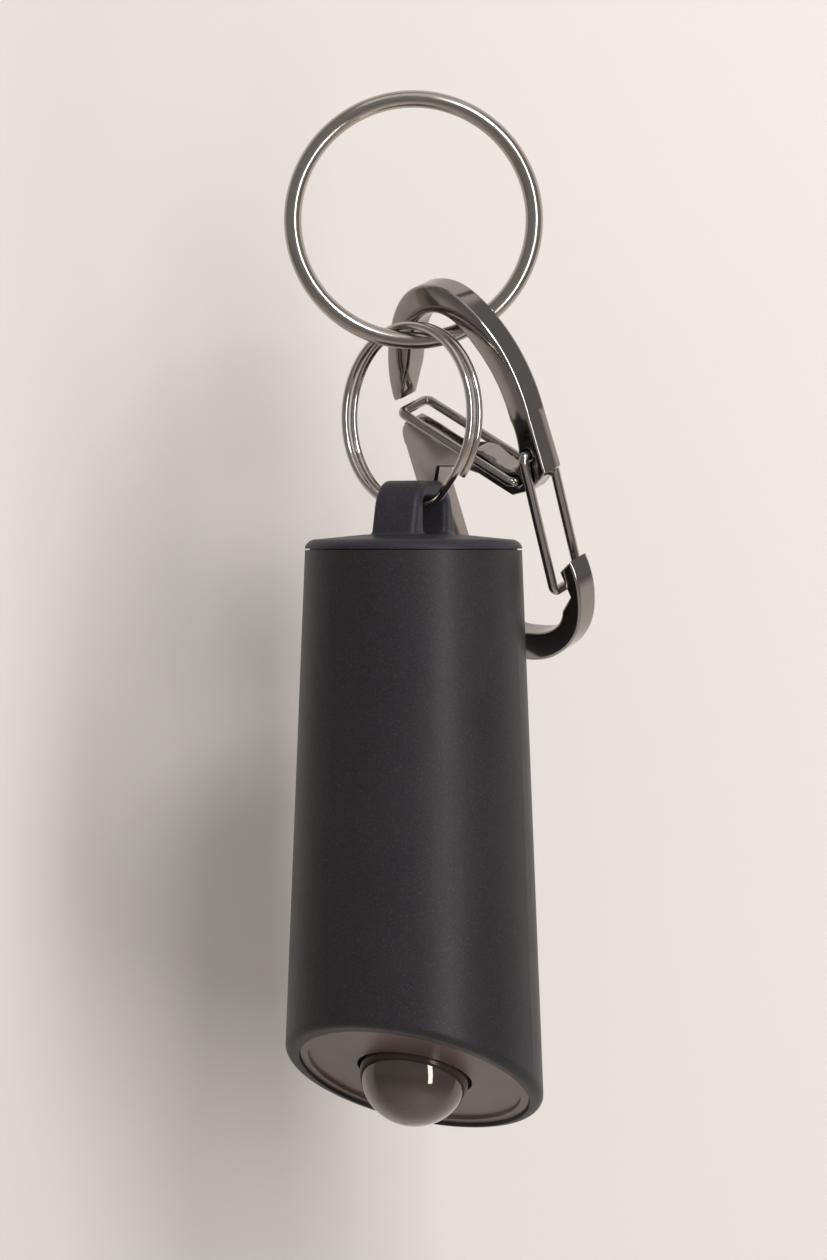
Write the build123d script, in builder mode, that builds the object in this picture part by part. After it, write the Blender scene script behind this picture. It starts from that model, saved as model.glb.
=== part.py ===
from build123d import *
import math
import os

os.makedirs("parts", exist_ok=True)

# A personal safety alarm that hangs from a key ring on a split ring, with an S-shaped carabiner beside it.
# Millimetres, +Z up. The origin is the point the key ring hangs from: the top of the inside of its wire.
# The alarm's axis is the Z axis. The short side of its slant-cut end faces -Y.

# General clearances
SLIP = 0.05            # between pieces of one body that are fitted together
PART_GAP = 0.15        # between the pull cap and the alarm body, which are fitted together
OVERRUN = 1.0          # how far a cut runs past the surface it opens
WALL_CLEARANCE = 0.10  # between the body's bore and what is pushed into it
HALF = 0.5             # share
STACK_STEP = 0.35      # thickness of sprung contact metal
FULL_TURN = 360.0      # degrees
MM_PER_METRE = 1000.0

# The two directions of the photograph, seen from the alarm
VIEW_TURN = 23.0       # degrees from the front to the camera
RIGHT = Vector(math.cos(math.radians(VIEW_TURN)), math.sin(math.radians(VIEW_TURN)), 0)
NEAR = Vector(math.sin(math.radians(VIEW_TURN)), -math.cos(math.radians(VIEW_TURN)), 0)
UP = Vector(0, 0, 1)
FRONT_AXIS = Vector(1, 0, 0)

# Key ring: plain round wire
KEY_RING_WIRE_RADIUS = 1.0
KEY_RING_RADIUS = 13.75          # to the middle of the wire

# Split ring: two turns of round wire side by side
SPLIT_WIRE_RADIUS = 0.45
SPLIT_RADIUS = 10.25             # to the middle of the wire
SPLIT_PITCH = 1.32               # between the two turns
SPLIT_TURN = -23.0               # degrees from the X axis to the ring's plane
SPLIT_KINK_START = -42.0         # degrees, where the wire starts to cross over
SPLIT_KINK_SPAN = 40.0           # degrees
SPLIT_ARCS = 4                   # arcs in each turn
SPLIT_HANG_GAP = 0.25            # left between the split ring and the key ring's wire
SPLIT_SHIFT = -0.4               # across its own plane, to make room for the carabiner

# Pull cap and its bail
BODY_RADIUS = 12.35              # at the seam between cap and body
BODY_TAPER_SHARE = 0.0393        # growth of the radius down the body
CAP_EDGE_HEIGHT = 0.33
CAP_ROUND_HEIGHT = 0.85
CAP_ROUND_INSET = 0.4
CAP_SHOULDER_HEIGHT = 1.15
CAP_SHOULDER_INSET = 1.35
CAP_FLAT_RADIUS = 5.5
CAP_FLAT_HEIGHT = 1.7
CAP_MIDDLE_HEIGHT = 1.75
SPIGOT_CLEARANCE = 0.55          # from the body's bore to the spigot that holds the seal
SPIGOT_DEPTH = 1.5
REBATE_WIDTH = 1.2               # step in the body's rim, so that no light passes the seam
REBATE_DEPTH = 0.35
REBATE_CLEARANCE = 0.12
BAIL_WIDTH = 5.4                 # along X
BAIL_ROOT_HEIGHT = 0.2
BAIL_ROOT_HALF = 6.6
BAIL_SHOULDER_HALF = 5.0
BAIL_SHOULDER_HEIGHT = 6.0
BAIL_TOP_HALF = 3.2
BAIL_TOP_HEIGHT = 7.8
BAIL_CORNER_ROUND = 3.0
BAIL_SHOULDER_ROUND = 4.0
BAIL_EDGE_ROUND = 0.7
BAIL_FOOT_ROUND = 0.6
BAIL_HOLE_HALF = 3.2
BAIL_HOLE_BOTTOM = 1.75
BAIL_HOLE_TOP = 5.9
BAIL_HOLE_ROUND = 0.9
BAIL_HANG_GAP = 0.5              # left between the bail and the split ring's wire

# Heights down from the hang point
KEY_RING_Z = -(KEY_RING_RADIUS - KEY_RING_WIRE_RADIUS)
KEY_WIRE_LOW_Z = KEY_RING_Z - KEY_RING_RADIUS
SPLIT_TOP_INSIDE_Z = KEY_WIRE_LOW_Z + KEY_RING_WIRE_RADIUS + SPLIT_HANG_GAP
SPLIT_Z = SPLIT_TOP_INSIDE_Z - (SPLIT_RADIUS - SPLIT_WIRE_RADIUS)
SPLIT_LOW_Z = SPLIT_Z - SPLIT_RADIUS
SEAM_Z = SPLIT_LOW_Z + SPLIT_WIRE_RADIUS + BAIL_HANG_GAP - BAIL_HOLE_TOP

# Pull pin and the seal round the cap's spigot
PIN_RADIUS = 1.5
PIN_TOP = 0.75
PIN_END = -10.5
PIN_TIP_BEVEL = 0.5
SEAL_WIRE_RADIUS = 0.5
SEAL_HEIGHT = -0.75

# Body shell
SHELL_WALL = 1.6
MOUTH_DEPTH = 60.3               # where the slant cut crosses the axis, below the seam
MOUTH_TILT = 28.0                # degrees of slant
SHELL_SPARE = 15.7               # length turned past the mouth's centre before the slant cut
MOUTH_EDGE_ROUND = 1.0
CUTTER_SIZE = 80.0

# Sounder cover, dome and light, measured along the mouth's own axis
COVER_FACE = -0.35
COVER_DISH = 0.35
COVER_THICKNESS = 1.85
COVER_LIP = 0.9
DOME_RADIUS = 6.3
DOME_WALL = 0.9
DOME_CENTRE = -1.0
DOME_GAP = 0.35
DOME_FLANGE_RADIUS = 7.6
DOME_FLANGE_THICKNESS = 0.75
DOME_FEET = 3
DOME_SLOT_WIDTH = 5.0
DOME_SLOT_DEPTH = 1.6
LED_BOARD_RADIUS = 6.9
LED_BOARD_THICKNESS = 1.0
LED_RADIUS = 1.6
LED_HEIGHT = 1.0
LED_LENS_RADIUS = 1.3
REFLECTOR_SMALL = 2.2
REFLECTOR_LARGE = 4.6
REFLECTOR_HEIGHT = 2.6
REFLECTOR_WALL = 0.5

# Sounder: a cup across the body with a piezo disc in it, seated just above the cover's high side
CHAMBER_GAP = 0.1
CHAMBER_HEIGHT = 2.75
CHAMBER_FLOOR = 0.7
CHAMBER_STEP_DEPTH = 1.85
CHAMBER_WALL = 1.0
CHAMBER_LEDGE = 1.0
PIEZO_THICKNESS = 0.4
SOUND_HOLE_RADIUS = 1.2

# Bulkhead under the cap, its screws and the pin's socket
BULKHEAD_TOP = -1.8
BULKHEAD_THICKNESS = 2.0
SOCKET_RADIUS = 3.0
SOCKET_BORE = 1.6
SOCKET_TOP = -2.0
SOCKET_END = -16.0
SOCKET_FLOOR = 0.9
SOCKET_FLANGE_RADIUS = 4.2
SOCKET_FLANGE_THICKNESS = 0.8
SCREW_EDGE = 1.0                 # from a screw's head to the bulkhead's edge
SCREW_HEAD_RADIUS = 1.5
SCREW_HEAD_HEIGHT = 0.8
SCREW_RADIUS = 0.8
SCREW_END = -9.0
SCREW_SLOT_WIDTH = 0.5
SCREW_SLOT_DEPTH = 0.35

# Switch: plunger under the pin's tip, its spring, and the contact pair it presses
PLUNGER_GAP = 0.1
PLUNGER_HEAD_RADIUS = 1.4
PLUNGER_HEAD_HEIGHT = 1.2
PLUNGER_STEM_RADIUS = 0.6
PLUNGER_END = -17.0
STEM_CLEARANCE = 0.1
SPRING_RADIUS = 1.05
SPRING_WIRE_RADIUS = 0.175
SPRING_TURNS = 3
SPRING_STEPS = 4                 # biarcs in each turn
SPRING_LOW = -14.85
SPRING_HIGH = -12.1
SWITCH_LENGTH = 7.0
SWITCH_WIDTH = 2.4
SWITCH_GAP = 0.1

# Battery, its contacts, the chassis and the circuit board
FRONT_ROOM = 1.04                # from the bore to the cell's sleeve
BACK_ROOM = 0.94                 # from the bore to the coil's middle
CELL_NUB_RADIUS = 3.0
CELL_NUB_HEIGHT = 1.0
CELL_DROP = 1.1                  # from the deck to the cell's top
CELL_EDGE_ROUND = 0.6
DECK_TOP = -18.2
DECK_THICKNESS = 1.2
POST_RADIUS = 1.6
SLEEVE_WALL = 0.85
SLEEVE_CLEARANCE = 0.15
SLEEVE_GAP = 0.14                # from the sleeve's end to the sound chamber
WINDOW_WIDTH = 8.0
WINDOW_TOP_MARGIN = 3.5          # from the cell's ends to the sleeve's window
WINDOW_END_MARGIN = 4.5
RAIL_DEPTH = 0.95
RAIL_PROUD = 0.25                # how far the rail's face stands out past the sleeve
RAIL_OVERHANG = 0.1              # past each side of the board
RAIL_GAP = 1.2                   # from the rail's end to the sound chamber
BOARD_SIDE_ROOM = 1.0            # from the bore to the board's corners
BOARD_THICKNESS = 1.0
BOARD_TOP_GAP = 0.5              # from the deck to the board
BOARD_END_GAP = 0.3              # from the board's end to the rail's end
COIL_RADIUS = 2.6
COIL_CORE_RADIUS = 1.7
COIL_HEIGHT = 1.8
COIL_FLANGE = 0.4
COIL_SHARE = 0.23                # places along the board
CHIP_SHARE = 0.57
CHIP_SIZE = 4.0
CHIP_HEIGHT = 1.1
TOP_CONTACT_WIDTH = 5.0
TOP_CONTACT_LENGTH = 9.0
TOP_CONTACT_BUMP = 1.5
LOW_CONTACT_WIDTH = 6.0
LOW_CONTACT_ROOM = 1.35          # from its ends to the sleeve

# Carabiner: a flat S-shaped plate with a wire gate on each loop
PLATE_THICKNESS = 3.0
PLATE_HALF = 10.75
PLATE_LENGTH = 46.6
GATE_WIRE_RADIUS = 0.55
GATE_SIDE_GAP = 0.2              # from the plate's faces to a gate's legs
GATE_HOLE_RADIUS = 0.6
GATE_STUB = 1.0                  # length of a gate's ends inside the plate
GATE_BEND = 0.7
LEAN_RIGHT_SHARE = 0.28          # the plate's long direction, in the photograph's directions
LEAN_DOWN_SHARE = -0.927
LEAN_NEAR_SHARE = -0.25
ACROSS_RIGHT_SHARE = 0.682
ACROSS_UP_SHARE = 0.009
ACROSS_NEAR_SHARE = 0.731
PLATE_ORIGIN_RIGHT = 2.4         # the middle of the hook's top on the plate's front face
PLATE_ORIGIN_Z = -19.55          # hangs the hook's inside just clear of the key ring's wire
PLATE_ORIGIN_NEAR = 3.6
PLATE_ORIGIN_ACROSS = 2.45

# Outline of the plate in shares: across by the half width, along by the length, downward positive
HOOK_OUTER_SHARES = [(1, 0.375), (0.915, 0.223), (0.68, 0.115), (0.3, 0.034), (0, 0.019),
                     (-0.3, 0.034), (-0.68, 0.115), (-0.915, 0.223), (-0.972, 0.3)]
HOOK_END_SHARES = [(-0.972, 0.3), (-0.955, 0.31), (-0.86, 0.306), (-0.602, 0.227)]
HOOK_INNER_SHARES = [(-0.602, 0.227), (-0.44, 0.161), (-0.22, 0.105), (0, 0.09),
                     (0.22, 0.105), (0.47, 0.172), (0.63, 0.25), (0.702, 0.375)]
MIDDLE_UPPER_SHARES = [(0.702, 0.375), (0.69, 0.46), (0.58, 0.5), (0.38, 0.495), (0.13, 0.453),
                       (-0.24, 0.442), (-0.51, 0.41), (-0.86, 0.364)]
CORNER_SHARES = [(-0.86, 0.364), (-0.965, 0.38), (-1, 0.43)]
SPINE_SHARES = [(-1, 0.43), (-1, 0.77)]
BOTTOM_OUTER_SHARES = [(-1, 0.77), (-0.94, 0.862), (-0.72, 0.942), (-0.37, 0.995), (0.02, 1.011),
                       (0.54, 0.976), (0.82, 0.918), (0.94, 0.865), (1.005, 0.794), (0.985, 0.746)]
NOSE_SHARES = [(0.985, 0.746), (0.785, 0.773), (0.832, 0.839), (0.65, 0.876)]
BOTTOM_INNER_SHARES = [(0.65, 0.876), (0.54, 0.91), (0.3, 0.934), (0.02, 0.937), (-0.35, 0.92),
                       (-0.6, 0.872), (-0.702, 0.77)]
SPINE_INNER_SHARES = [(-0.702, 0.77), (-0.702, 0.535)]
MIDDLE_LOWER_SHARES = [(-0.702, 0.535), (-0.58, 0.49), (-0.24, 0.494), (0, 0.512), (0.414, 0.571),
                       (0.707, 0.56), (1, 0.515), (1, 0.375)]
UPPER_GATE_HINGE_SHARE = (0.549, 0.531)
UPPER_GATE_TIP_SHARE = (-0.823, 0.335)
LOWER_GATE_HINGE_SHARE = (0.82, 0.465)
LOWER_GATE_TIP_SHARE = (0.707, 0.818)


def level(height):
    """A horizontal plane at a height above the seam between cap and body."""
    return Plane.XY.offset(SEAM_Z + height)


def radius_at(height):
    """The tapered body's outer radius at a height above the seam."""
    return BODY_RADIUS - BODY_TAPER_SHARE * height


def bore_at(height):
    """The radius of what is pushed into the body's bore at a height above the seam."""
    return radius_at(height) - wall_inset


def unit(vector):
    return vector / vector.length


# What follows from the driving sizes: the room inside the shell, and where each inner piece ends
wall_inset = SHELL_WALL + WALL_CLEARANCE
cover_back = COVER_FACE - COVER_THICKNESS
bulkhead_low = BULKHEAD_TOP - BULKHEAD_THICKNESS
deck_low = DECK_TOP - DECK_THICKNESS
deck_radius = bore_at(DECK_TOP)
spigot_radius = BODY_RADIUS - SHELL_WALL - SPIGOT_CLEARANCE
seal_radius = BODY_RADIUS - SHELL_WALL - WALL_CLEARANCE - SEAL_WIRE_RADIUS
screw_offset = bore_at(BULKHEAD_TOP) - SCREW_EDGE - SCREW_HEAD_RADIUS
cell_radius = (
    deck_radius - SLEEVE_WALL - SLEEVE_CLEARANCE
    - (FRONT_ROOM + RAIL_PROUD + SLIP + BOARD_THICKNESS + SLIP + COIL_HEIGHT + BACK_ROOM) * HALF
)
sleeve_inner = cell_radius + SLEEVE_CLEARANCE
sleeve_outer = sleeve_inner + SLEEVE_WALL
low_contact_length = (
    math.sqrt(sleeve_inner ** 2 - (LOW_CONTACT_WIDTH * HALF) ** 2) - LOW_CONTACT_ROOM
) / HALF
cell_y = FRONT_ROOM + sleeve_outer - deck_radius
rail_face = cell_y + sleeve_outer + RAIL_PROUD
board_front = rail_face + SLIP
board_back = board_front + BOARD_THICKNESS
board_width = (math.sqrt(deck_radius ** 2 - board_back ** 2) - BOARD_SIDE_ROOM) / HALF
chamber_end = (
    math.tan(math.radians(MOUTH_TILT)) * bore_at(-MOUTH_DEPTH)
    - cover_back / math.cos(math.radians(MOUTH_TILT)) + CHAMBER_GAP - MOUTH_DEPTH
)
chamber_top = chamber_end + CHAMBER_HEIGHT
chamber_step = chamber_top - CHAMBER_STEP_DEPTH
sleeve_end = chamber_top + SLEEVE_GAP
cell_top = deck_low - CELL_DROP
cell_low = sleeve_end + STACK_STEP + SLIP
rail_end = chamber_top + RAIL_GAP
board_top = deck_low - BOARD_TOP_GAP
board_end = rail_end + BOARD_END_GAP
board_length = board_top - board_end
shell_run = MOUTH_DEPTH + SHELL_SPARE
shell_top = -PART_GAP * HALF
rebate_low = shell_top - REBATE_DEPTH
rebate_radius = BODY_RADIUS - SHELL_WALL + REBATE_WIDTH

# The mouth's own frame: its plane faces out of the slant-cut end
MOUTH_CENTRE = Vector(0, 0, SEAM_Z - MOUTH_DEPTH)
MOUTH_SINE = math.sin(math.radians(MOUTH_TILT))
MOUTH_COSINE = math.cos(math.radians(MOUTH_TILT))
MOUTH_OUT = Vector(0, -MOUTH_SINE, -MOUTH_COSINE)
mouth = Plane(origin=MOUTH_CENTRE, x_dir=FRONT_AXIS, z_dir=MOUTH_OUT)
mouth_section = Plane(origin=MOUTH_CENTRE, x_dir=FRONT_AXIS, z_dir=Vector(0, MOUTH_COSINE, -MOUTH_SINE))
mouth_axis = Axis(MOUTH_CENTRE, MOUTH_OUT)


def mouth_slice(outer_inset, inner_inset, low, high):
    """A slice across the tapered body, parallel to its slant-cut end, solid or a ring."""
    with BuildPart() as piece:
        with BuildSketch(Plane.XZ) as section:
            with BuildLine():
                Polyline(
                    (inner_inset and radius_at(0) - inner_inset, SEAM_Z),
                    (radius_at(0) - outer_inset, SEAM_Z),
                    (radius_at(-shell_run) - outer_inset, SEAM_Z - shell_run),
                    (inner_inset and radius_at(-shell_run) - inner_inset, SEAM_Z - shell_run),
                    close=True,
                )
            make_face()
        revolve(axis=Axis.Z)
        with BuildSketch(mouth.offset(low)):
            Rectangle(CUTTER_SIZE, CUTTER_SIZE)
        extrude(amount=high - low, mode=Mode.INTERSECT)
    return piece.part


def turned_disc(outer, inner, low, high):
    """A plain disc or ring round the mouth's axis, between two distances along it."""
    with BuildPart() as piece:
        with BuildSketch(mouth.offset(low)):
            Circle(outer)
            if inner:
                Circle(inner, mode=Mode.SUBTRACT)
        extrude(amount=high - low)
    return piece.part


def level_disc(outer, low, high):
    """A plain round solid on the alarm's axis, between two heights above the seam."""
    with BuildPart() as piece:
        with BuildSketch(level(low)):
            Circle(outer)
        extrude(amount=high - low)
    return piece.part


def biarc_joint(start, end, start_way, end_way):
    """The point and direction where two tangent arcs between two directed points meet."""
    span = end - start
    both = start_way + end_way
    bend = (1 - start_way.dot(end_way)) / HALF
    along = span.dot(both)
    reach = (-along + math.sqrt(along * along + bend * span.dot(span))) / bend
    first = start + start_way * reach
    second = end - end_way * reach
    return (first + second) * HALF, unit(second - first)


def biarc(start, end, start_way, end_way):
    """Adds two tangent arcs to the line being built."""
    middle, way = biarc_joint(start, end, start_way, end_way)
    TangentArc(start, middle, tangent=start_way)
    TangentArc(middle, end, tangent=way)


def save(piece, name):
    piece.label = name
    export_step(piece, f"parts/{name}.step")


# Key ring
with BuildPart() as key_ring:
    key_ring_centre = Vector(0, 0, KEY_RING_Z)
    with BuildSketch(Plane(origin=key_ring_centre + RIGHT * KEY_RING_RADIUS, x_dir=RIGHT, z_dir=UP)):
        Circle(KEY_RING_WIRE_RADIUS)
    revolve(axis=Axis(key_ring_centre, NEAR))
save(key_ring.part, "key_ring")


# Split ring: one wire, two turns, crossing from one turn to the other in a short kink
split_along = Vector(math.cos(math.radians(SPLIT_TURN)), math.sin(math.radians(SPLIT_TURN)), 0)
split_side = Vector(-split_along.Y, split_along.X, 0)


def split_point(angle, side):
    """A point on the split ring's wire, by its angle and by which turn it is on."""
    turn = math.radians(angle)
    around = split_along * (SPLIT_RADIUS * math.cos(turn)) + UP * (SPLIT_RADIUS * math.sin(turn))
    return Vector(0, 0, SPLIT_Z) + around + split_side * (SPLIT_SHIFT + side * SPLIT_PITCH * HALF)


def split_way(angle):
    """The direction in which the split ring's wire runs, clockwise."""
    turn = math.radians(angle)
    return split_along * math.sin(turn) - UP * math.cos(turn)


def split_turn(start, side):
    """Adds one flat turn of the split ring, short of the kink."""
    step = (FULL_TURN - SPLIT_KINK_SPAN) / SPLIT_ARCS
    for arc in range(SPLIT_ARCS):
        first = start - step * arc
        last = first - step
        ThreePointArc(*(split_point(angle, side) for angle in (first, (first + last) * HALF, last)))


kink_end = SPLIT_KINK_START - SPLIT_KINK_SPAN
with BuildPart() as split_ring:
    with BuildLine() as split_path:
        split_turn(kink_end, -1)
        biarc(
            split_point(SPLIT_KINK_START, -1),
            split_point(kink_end, 1),
            split_way(SPLIT_KINK_START),
            split_way(kink_end),
        )
        split_turn(kink_end, 1)
    with BuildSketch(Plane(origin=split_point(kink_end, -1), z_dir=split_way(kink_end))):
        Circle(SPLIT_WIRE_RADIUS)
    sweep(path=split_path.line)
save(split_ring.part, "split_ring")
print("split ring, least gap between its turns:", round(SPLIT_PITCH - SPLIT_WIRE_RADIUS / HALF, 3), "mm")


# Bail: a squat arch whose hole runs across the front
with BuildPart() as bail:
    with BuildSketch(Plane.YZ.offset(-BAIL_WIDTH * HALF)) as bail_face:
        with BuildLine():
            Polyline(
                (-BAIL_ROOT_HALF, SEAM_Z + BAIL_ROOT_HEIGHT),
                (BAIL_ROOT_HALF, SEAM_Z + BAIL_ROOT_HEIGHT),
                (BAIL_SHOULDER_HALF, SEAM_Z + BAIL_SHOULDER_HEIGHT),
                (BAIL_TOP_HALF, SEAM_Z + BAIL_TOP_HEIGHT),
                (-BAIL_TOP_HALF, SEAM_Z + BAIL_TOP_HEIGHT),
                (-BAIL_SHOULDER_HALF, SEAM_Z + BAIL_SHOULDER_HEIGHT),
                close=True,
            )
        make_face()
        fillet(bail_face.vertices().group_by(Axis.Y)[1], radius=BAIL_SHOULDER_ROUND)
        fillet(bail_face.vertices().group_by(Axis.Y)[-1], radius=BAIL_CORNER_ROUND)
    extrude(amount=BAIL_WIDTH)
    with BuildSketch(Plane.YZ.offset(-BAIL_WIDTH * HALF - OVERRUN)) as bail_hole:
        with BuildLine():
            Polyline(
                (-BAIL_HOLE_HALF, SEAM_Z + BAIL_HOLE_BOTTOM),
                (BAIL_HOLE_HALF, SEAM_Z + BAIL_HOLE_BOTTOM),
                (BAIL_HOLE_HALF, SEAM_Z + BAIL_HOLE_TOP),
                (-BAIL_HOLE_HALF, SEAM_Z + BAIL_HOLE_TOP),
                close=True,
            )
        make_face()
        fillet(bail_hole.vertices(), radius=BAIL_HOLE_ROUND)
    extrude(amount=BAIL_WIDTH + OVERRUN / HALF, mode=Mode.SUBTRACT)
    bail_sides = bail.faces().group_by(Axis.X)
    fillet(bail_sides[0].edges() + bail_sides[-1].edges(), radius=BAIL_EDGE_ROUND)


# Pull cap: a low rounded lid with a spigot below, a socket for the pin and the bail on top
with BuildPart() as pull_cap:
    with BuildSketch(Plane.XZ):
        with BuildLine():
            cap_low = SEAM_Z + PART_GAP * HALF
            Polyline((0, SEAM_Z + CAP_MIDDLE_HEIGHT), (0, cap_low), (BODY_RADIUS, cap_low),
                     (BODY_RADIUS, SEAM_Z + CAP_EDGE_HEIGHT))
            ThreePointArc(
                (BODY_RADIUS, SEAM_Z + CAP_EDGE_HEIGHT),
                (BODY_RADIUS - CAP_ROUND_INSET, SEAM_Z + CAP_ROUND_HEIGHT),
                (BODY_RADIUS - CAP_SHOULDER_INSET, SEAM_Z + CAP_SHOULDER_HEIGHT),
            )
            Polyline((BODY_RADIUS - CAP_SHOULDER_INSET, SEAM_Z + CAP_SHOULDER_HEIGHT),
                     (CAP_FLAT_RADIUS, SEAM_Z + CAP_FLAT_HEIGHT), (0, SEAM_Z + CAP_MIDDLE_HEIGHT))
        make_face()
    revolve(axis=Axis.Z)
    add(level_disc(spigot_radius, -SPIGOT_DEPTH, CAP_EDGE_HEIGHT))
    add(level_disc(rebate_radius - REBATE_CLEARANCE, rebate_low + REBATE_CLEARANCE, CAP_EDGE_HEIGHT))
    with BuildSketch(Plane.XZ):
        with Locations((seal_radius, SEAM_Z + SEAL_HEIGHT)):
            Circle(SEAL_WIRE_RADIUS + SLIP)
    revolve(axis=Axis.Z, mode=Mode.SUBTRACT)
    add(bail.part)
    fillet(pull_cap.edges(Select.NEW), radius=BAIL_FOOT_ROUND)
    with BuildSketch(level(-SPIGOT_DEPTH - OVERRUN)):
        Circle(PIN_RADIUS + SLIP)
    extrude(amount=SPIGOT_DEPTH + OVERRUN + PIN_TOP + SLIP, mode=Mode.SUBTRACT)
save(pull_cap.part, "pull_cap")

# Pull pin: a steel rod with a bevelled tip
with BuildPart() as pull_pin:
    with BuildSketch(level(PIN_END)):
        Circle(PIN_RADIUS)
    extrude(amount=PIN_TOP - PIN_END)
    chamfer(pull_pin.edges().sort_by(Axis.Z)[0], length=PIN_TIP_BEVEL)
save(pull_pin.part, "pull_pin")

# Cap seal: a round rubber ring in the spigot's groove
with BuildPart() as cap_seal:
    with BuildSketch(Plane.XZ):
        with Locations((seal_radius, SEAM_Z + SEAL_HEIGHT)):
            Circle(SEAL_WIRE_RADIUS)
    revolve(axis=Axis.Z)
save(cap_seal.part, "cap_seal")

# Body shell: a tapered tube cut off at a slant
with BuildPart() as body_shell:
    with BuildSketch(Plane.XZ):
        with BuildLine():
            Polyline(
                (radius_at(shell_top) - SHELL_WALL, SEAM_Z + shell_top),
                (radius_at(shell_top), SEAM_Z + shell_top),
                (radius_at(-shell_run), SEAM_Z - shell_run),
                (radius_at(-shell_run) - SHELL_WALL, SEAM_Z - shell_run),
                close=True,
            )
        make_face()
    revolve(axis=Axis.Z)
    with BuildSketch(mouth):
        Rectangle(CUTTER_SIZE, CUTTER_SIZE)
    extrude(amount=CUTTER_SIZE, mode=Mode.SUBTRACT)
    mouth_edges = body_shell.faces().sort_by(mouth_axis)[-1].edges().sort_by(SortBy.LENGTH)
    fillet(mouth_edges[-1], radius=MOUTH_EDGE_ROUND)
    with BuildSketch(level(rebate_low)):
        Circle(rebate_radius)
    extrude(amount=REBATE_DEPTH + OVERRUN, mode=Mode.SUBTRACT)
save(body_shell.part, "body_shell")

# Sounder cover: a dished disc that fills the mouth, with a raised lip and a hole for the dome
with BuildPart() as sounder_cover:
    add(mouth_slice(wall_inset, 0, cover_back, COVER_FACE - COVER_DISH))
    add(mouth_slice(wall_inset, wall_inset + COVER_LIP, cover_back, COVER_FACE))
    with BuildSketch(mouth.offset(cover_back - OVERRUN)):
        Circle(DOME_RADIUS + DOME_GAP)
    extrude(amount=COVER_THICKNESS + OVERRUN / HALF, mode=Mode.SUBTRACT)
save(sounder_cover.part, "sounder_cover")

# Dome lens: a thin dome on a foot ring that is cut into feet, so that sound gets past it
foot_high = cover_back - SLIP
foot_low = foot_high - DOME_FLANGE_THICKNESS
with BuildPart() as dome_lens:
    with BuildSketch(mouth_section):
        with BuildLine():
            slant_share = math.sqrt(HALF)
            inner_radius = DOME_RADIUS - DOME_WALL
            ThreePointArc(
                (DOME_RADIUS, DOME_CENTRE),
                (DOME_RADIUS * slant_share, DOME_CENTRE + DOME_RADIUS * slant_share),
                (0, DOME_CENTRE + DOME_RADIUS),
            )
            Line((0, DOME_CENTRE + DOME_RADIUS), (0, DOME_CENTRE + inner_radius))
            ThreePointArc(
                (0, DOME_CENTRE + inner_radius),
                (inner_radius * slant_share, DOME_CENTRE + inner_radius * slant_share),
                (inner_radius, DOME_CENTRE),
            )
            Polyline((inner_radius, DOME_CENTRE), (inner_radius, foot_low), (DOME_FLANGE_RADIUS, foot_low),
                     (DOME_FLANGE_RADIUS, foot_high), (DOME_RADIUS, foot_high), (DOME_RADIUS, DOME_CENTRE))
        make_face()
    revolve(axis=mouth_axis)
    with BuildSketch(mouth.offset(foot_low - OVERRUN)):
        with PolarLocations(DOME_FLANGE_RADIUS, DOME_FEET):
            Rectangle(DOME_SLOT_DEPTH, DOME_SLOT_WIDTH)
    extrude(amount=DOME_FLANGE_THICKNESS + OVERRUN + SLIP, mode=Mode.SUBTRACT)
save(dome_lens.part, "dome_lens")

# Light: board, lamp and reflector under the dome
board_high = foot_low - SLIP
save(turned_disc(LED_BOARD_RADIUS, 0, board_high - LED_BOARD_THICKNESS, board_high), "led_board")

with BuildPart() as strobe_led:
    lamp_low = board_high + SLIP
    add(turned_disc(LED_RADIUS, 0, lamp_low, lamp_low + LED_HEIGHT))
    with BuildSketch(mouth_section):
        with BuildLine():
            lamp_high = lamp_low + LED_HEIGHT
            RadiusArc((LED_LENS_RADIUS, lamp_high), (0, lamp_high + LED_LENS_RADIUS), -LED_LENS_RADIUS)
            Polyline((0, lamp_high + LED_LENS_RADIUS), (0, lamp_low), (LED_LENS_RADIUS, lamp_low),
                     (LED_LENS_RADIUS, lamp_high))
        make_face()
    revolve(axis=mouth_axis)
save(strobe_led.part, "strobe_led")

with BuildPart() as reflector:
    with BuildSketch(mouth_section):
        with BuildLine():
            bowl_low = board_high + SLIP
            Polyline(
                (REFLECTOR_SMALL, bowl_low),
                (REFLECTOR_LARGE, bowl_low + REFLECTOR_HEIGHT),
                (REFLECTOR_LARGE + REFLECTOR_WALL, bowl_low + REFLECTOR_HEIGHT),
                (REFLECTOR_SMALL + REFLECTOR_WALL, bowl_low),
                close=True,
            )
        make_face()
    revolve(axis=mouth_axis)
save(reflector.part, "reflector")

# Sounder: the chamber across the body and the piezo disc on its ledge
with BuildPart() as sound_chamber:
    chamber_bore = bore_at(chamber_step) - CHAMBER_WALL
    with BuildSketch(Plane.XZ):
        with BuildLine():
            Polyline(
                (SOUND_HOLE_RADIUS, SEAM_Z + chamber_top),
                (bore_at(chamber_top), SEAM_Z + chamber_top),
                (bore_at(chamber_end), SEAM_Z + chamber_end),
                (bore_at(chamber_end) - CHAMBER_WALL, SEAM_Z + chamber_end),
                (chamber_bore, SEAM_Z + chamber_step),
                (chamber_bore - CHAMBER_LEDGE, SEAM_Z + chamber_step),
                (chamber_bore - CHAMBER_LEDGE, SEAM_Z + chamber_top - CHAMBER_FLOOR),
                (SOUND_HOLE_RADIUS, SEAM_Z + chamber_top - CHAMBER_FLOOR),
                close=True,
            )
        make_face()
    revolve(axis=Axis.Z)
save(sound_chamber.part, "sound_chamber")
piezo_high = chamber_step - SLIP
save(level_disc(chamber_bore - SLIP, piezo_high - PIEZO_THICKNESS, piezo_high), "piezo_disc")

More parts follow.
